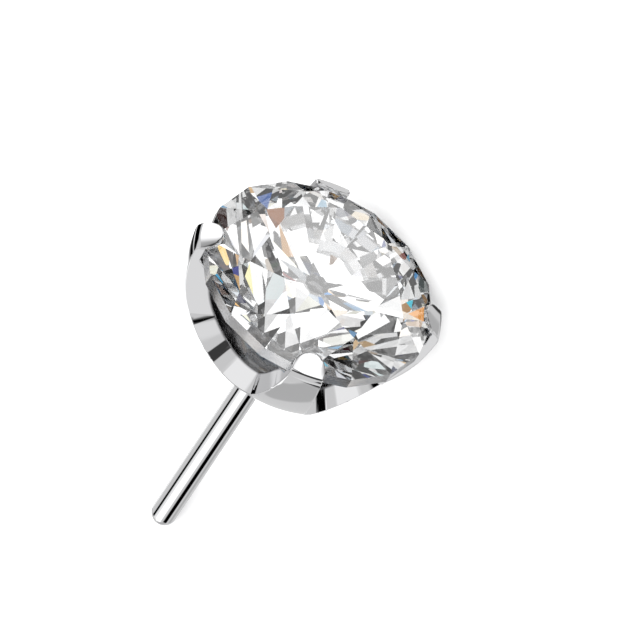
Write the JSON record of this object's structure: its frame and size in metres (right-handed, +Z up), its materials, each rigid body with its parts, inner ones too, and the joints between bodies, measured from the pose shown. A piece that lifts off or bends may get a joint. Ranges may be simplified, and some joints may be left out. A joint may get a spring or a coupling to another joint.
{
  "type": "threadless piercing top",
  "caption": "Round clear stone held by prongs in a round four-window basket, with a straight smooth push-in pin soldered to its back.",
  "frame": {"origin": "centre of the bounding box's bottom face, on the table that the piece lies on", "axes": "+X from the tip of the pin towards the stone's table facet, +Y across, +Z up"},
  "size_m": [0.009, 0.005, 0.0049],
  "materials": {
    "polished_titanium": "mirror polished",
    "clear_stone": "polished flat facets"
  },
  "bodies": {
    "root": {"setting": "polished_titanium", "stone": "clear_stone"}
  },
  "joints": []
}
